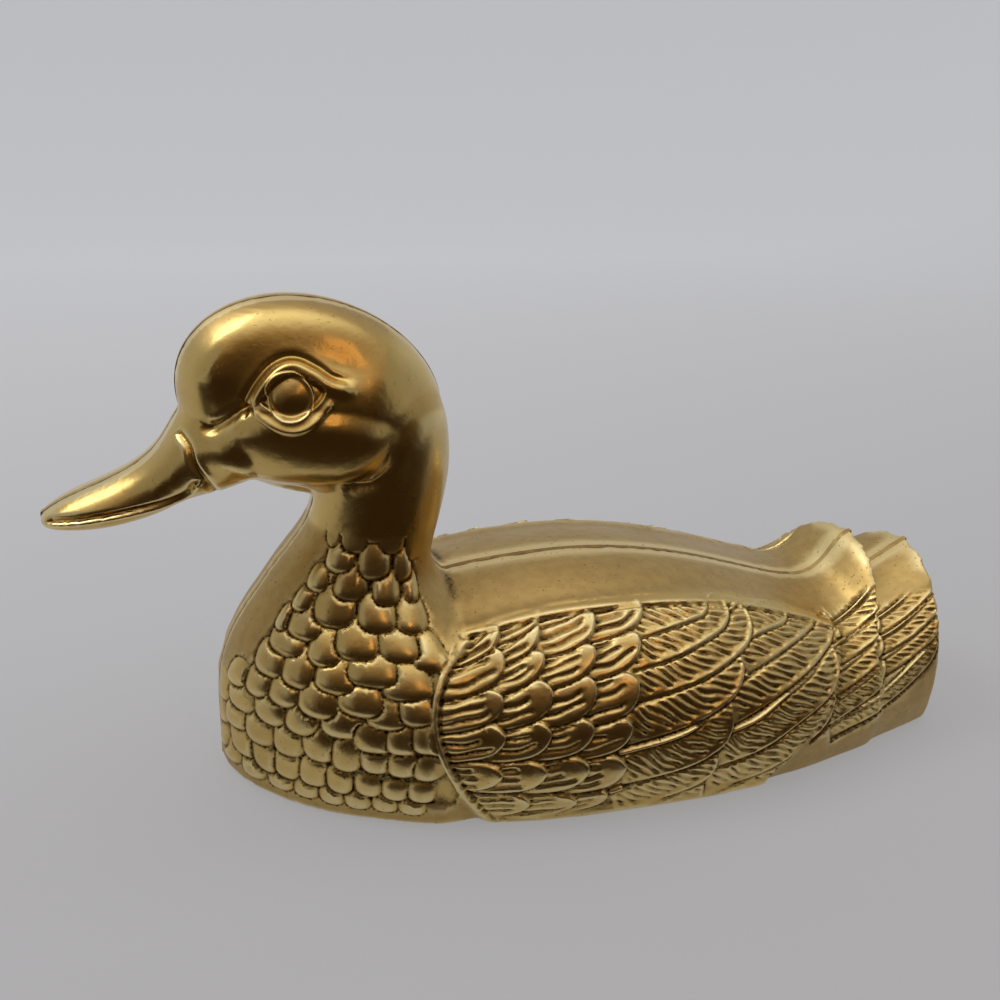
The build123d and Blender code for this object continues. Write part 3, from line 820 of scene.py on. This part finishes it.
def thinned(mesh, chosen, ratio):
    # fewer triangles in the chosen part, down to the given share of the whole mesh
    piece = bpy.data.objects.new("thinning", mesh)
    bpy.context.scene.collection.objects.link(piece)
    group = piece.vertex_groups.new(name="chosen")
    group.add([int(i) for i in np.where(chosen)[0]], 1.0, "REPLACE")
    thin = piece.modifiers.new("thin", "DECIMATE")
    thin.vertex_group = "chosen"
    thin.ratio = ratio
    graph = bpy.context.evaluated_depsgraph_get()
    lighter = bpy.data.meshes.new_from_object(piece.evaluated_get(graph))
    bpy.data.objects.remove(piece)
    return lighter


def countTriangles(mesh):
    return sum(len(face.vertices) - 2 for face in mesh.polygons)


def plainHalf():
    # the solid as an even, smoothed mesh that ends at the braze
    mesh = remeshed("left", nodes["left_casting"], casting["voxel"])
    bm = bmesh.new()
    bm.from_mesh(mesh)
    everything = bm.verts[:] + bm.edges[:] + bm.faces[:]
    cut = bmesh.ops.bisect_plane(bm, geom=everything, plane_co=(0, -casting["cut"], 0), plane_no=(0, 1, 0),
                                 clear_outer=True)
    rim = [e for e in cut["geom_cut"] if isinstance(e, bmesh.types.BMEdge)]
    bmesh.ops.triangle_fill(bm, edges=rim, use_beauty=True, normal=(0, 1, 0))
    rimVerts = {v for e in rim for v in e.verts}
    bm.normal_update()
    inner = [v for v in bm.verts if v not in rimVerts]
    for _ in range(casting["smoothing"]):
        smoothed(bm, inner)
    # the groove's rounded lip was cut off, so the skin beside it is drawn out to the braze
    stretch = casting["stretch"]
    growth = (stretch - casting["brazeHalf"]) / (stretch - casting["cut"])
    for v in bm.verts:
        if v.co.y > -stretch:
            v.co.y = -stretch + (v.co.y + stretch) * growth
    bm.to_mesh(mesh)
    bm.free()
    # the solid's cut gaps between feathers are filled again, since the carving has its own
    p, normal = positions(mesh) / mm, normals(mesh)
    gaps = wingInterior(p, casting["gapMargin"]) & (outwardness(p, normal) > -0.35)
    edges = edgePairs(mesh)
    p = relaxed(edges, p, gaps, casting["gapPasses"])
    _, toTop, _, _ = alongCurve(p[:, 0], p[:, 2], panelOutline()[1])
    step = (np.abs(toTop) < 3) & (p[:, 1] < -wingPanel["sideFrom"]) & (outwardness(p, normal) > 0)
    p = relaxed(edges, p, step, casting["stepPasses"])
    movePoints(mesh, p)
    return mesh


def smoothed(bm, verts):
    bmesh.ops.smooth_vert(bm, verts=verts, factor=0.5, use_axis_x=True, use_axis_y=True, use_axis_z=True)


def refinedHalf(mesh):
    # few faces inside the hollow, and small ones where the outside is carved
    inward = facesInward(mesh)
    lighter = thinned(mesh, inward, 1 - inward.mean() * (1 - casting["insideKeep"]))
    print("casting: even mesh", len(mesh.polygons), "thinned inside", len(lighter.polygons))
    p, normal = positions(lighter) / mm, normals(lighter)
    wanted = needsDetail(p) & ~facesInward(lighter) & (normal[:, 2] > -0.9)
    bm = bmesh.new()
    bm.from_mesh(lighter)
    splitWhere(bm, wanted)
    splitWhere(bm, nearEye(np.array([v.co for v in bm.verts]) / mm))
    smoothed(bm, [v for v in bm.verts if abs(v.co.y) > 1.5 * casting["brazeHalf"]])
    for face in bm.faces:
        face.smooth = True
    for edge in bm.edges:
        onCut = all(abs(v.co.y + casting["brazeHalf"]) < 0.05 * mm for v in edge.verts)
        edge.smooth = not (onCut and any(abs(face.normal.y) < 0.7 for face in edge.link_faces))
    return linkObject("left_casting_carved", bm)


def rubbedBrow(mesh, p, moved, outer):
    # the hollow of the brow is rubbed smooth, clear of the lids
    x, z = p[:, 0], p[:, 2]
    toBrow, toLid, toFold = (strokeDistance(x, z, stroke)[0] for stroke in (browChannel, lidUpper, lidLower))
    hollow = outer & (z > 100) & (toBrow < 8) & (toLid > 1.6) & (toFold > 1.6) & ~betweenLids(x, z)
    return relaxed(edgePairs(mesh), moved, hollow, casting["browPasses"])


def carveCasting():
    piece = refinedHalf(plainHalf())
    mesh = piece.data
    p, outer = positions(mesh) / mm, ~facesInward(mesh)
    # under the brow the outer skin looks across at the lids
    outer |= (outwardness(p, normals(mesh)) > -0.3) & (p[:, 2] > 100) & (p[:, 0] < -40)
    p[:, 2] += np.where(outer, jawRise(p), 0.0)
    movePoints(mesh, p)
    normal = normals(mesh)
    seam = smoothStep(-p[:, 1], 1.2, 5.0)
    wing, feathered = wingRelief(p)
    scales, scaled = breastRelief(p)
    scales = np.where(feathered | (p[:, 0] > -22), 0.0, scales)
    carving = wing + scales + headRelief(p, normal)
    rimFade = smoothStep(p[:, 2], 1.2, 4.0)
    # the hollow's wall steps back behind the eye, so that the deep brow doesn't break through it
    toEye = np.hypot(p[:, 0] - head["eye"][0], p[:, 2] - head["eye"][1])
    stepBack = casting["eyeWall"] * (1 - smoothStep(toEye, 20, 32)) * (p[:, 2] > 100)
    carving = np.where(outer, carving * seam * rimFade, stepBack)
    moved = rubbedBrow(mesh, p, p + normal * carving[:, None], outer)
    moved[:, 1] = np.maximum(moved[:, 1], cadBox[0].y / mm + 0.05)
    moved[:, 2] = np.maximum(moved[:, 2], 0.0)
    movePoints(mesh, moved)
    onHead = (p[:, 2] > 86) & (p[:, 0] < -24)
    relief = feathered | (scaled & (np.abs(scales) > 0))
    deepest = np.where(feathered & outer, smoothStep(-wing, 1.7, 2.4), 0) * 0.4
    ageSkin(mesh, p, moved, outer, onHead, relief, deepest)
    before = countTriangles(mesh)
    plain = onHead | ~outer | (p[:, 1] > -4)
    piece.data = thinned(mesh, ~plain, casting["triangles"] / before)
    print("casting: carved", before, "triangles, kept", countTriangles(piece.data))
    return piece


def ageSkin(mesh, p, moved, outer, onHead, relief, deepest):
    # dips hold patina, and crests are lightened, partly as rubbed wear and partly as a painted highlight:
    # both are read against the skin smoothed over
    edges, normal = edgePairs(mesh), normals(mesh)
    around = moved
    for _ in range(casting["shadeReach"]):
        around = neighbourMean(edges, around)
    dip = ((around - moved) * normal).sum(1)
    dip = 0.5 * dip + 0.5 * neighbourMean(edges, dip)
    shade = np.clip(smoothStep(dip, 0.07, 0.40) + deepest, 0, 1)
    # on the polished head only the eye's socket and the bill keep some
    kept = np.where(betweenLids(p[:, 0], p[:, 2]) | (p[:, 0] < -101), 0.5, 0.0)
    shade = np.where(onHead, smoothStep(dip, 0.25, 0.9) * kept, shade)
    shade = np.where(outer, shade, 0.75) * smoothStep(-p[:, 1], 1.1, 2.0)
    setAttribute(mesh, "cavity", shade)
    # painted highlight and wear: the mask is high where the skin bulges over its smoothed copy
    setAttribute(mesh, "wearAndHighlight", np.where(outer, smoothStep(-dip, 0.04, 0.24), 0.0))
    crown = smoothStep(p[:, 2], 138, 148) * (1 - smoothStep(-p[:, 1], 7, 16))
    matte = np.where(relief, 0.3, np.where(onHead, 0.1 + 0.65 * crown, 0.85))
    for _ in range(casting["mattePasses"]):
        matte = 0.4 * matte + 0.6 * neighbourMean(edges, matte)
    setAttribute(mesh, "matte", matte)


def mirrored(piece, name):
    mesh = piece.data.copy()
    mesh.name = name
    mesh.transform(Matrix.Scale(-1, 4, (0, 1, 0)))
    mesh.flip_normals()
    other = bpy.data.objects.new(name, mesh)
    bpy.context.scene.collection.objects.link(other)
    return other


makeCamera()
makeBackdrop()
makePaintedReflection()
makeLight()
print("stage: camera, backdrop and light")
brass = makeBrass()
groundBraze, brownBraze = makeBraze("groundBraze"), makeBraze("brownBraze")
left = carveCasting()
right = mirrored(left, "right_casting_carved")
for piece, name in ((left, "left_casting"), (right, "right_casting")):
    piece.data.materials.clear()
    piece.data.materials.append(brass)
    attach(piece, "root")
    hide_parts(name)
for name, node in nodes.items():
    if name.endswith("_braze"):
        node.data.materials.clear()
        node.data.materials.append(brownBraze if name == "back_braze" else groundBraze)
print("castings and brazes: finished")

bpy.context.scene.view_settings.view_transform = "Standard"
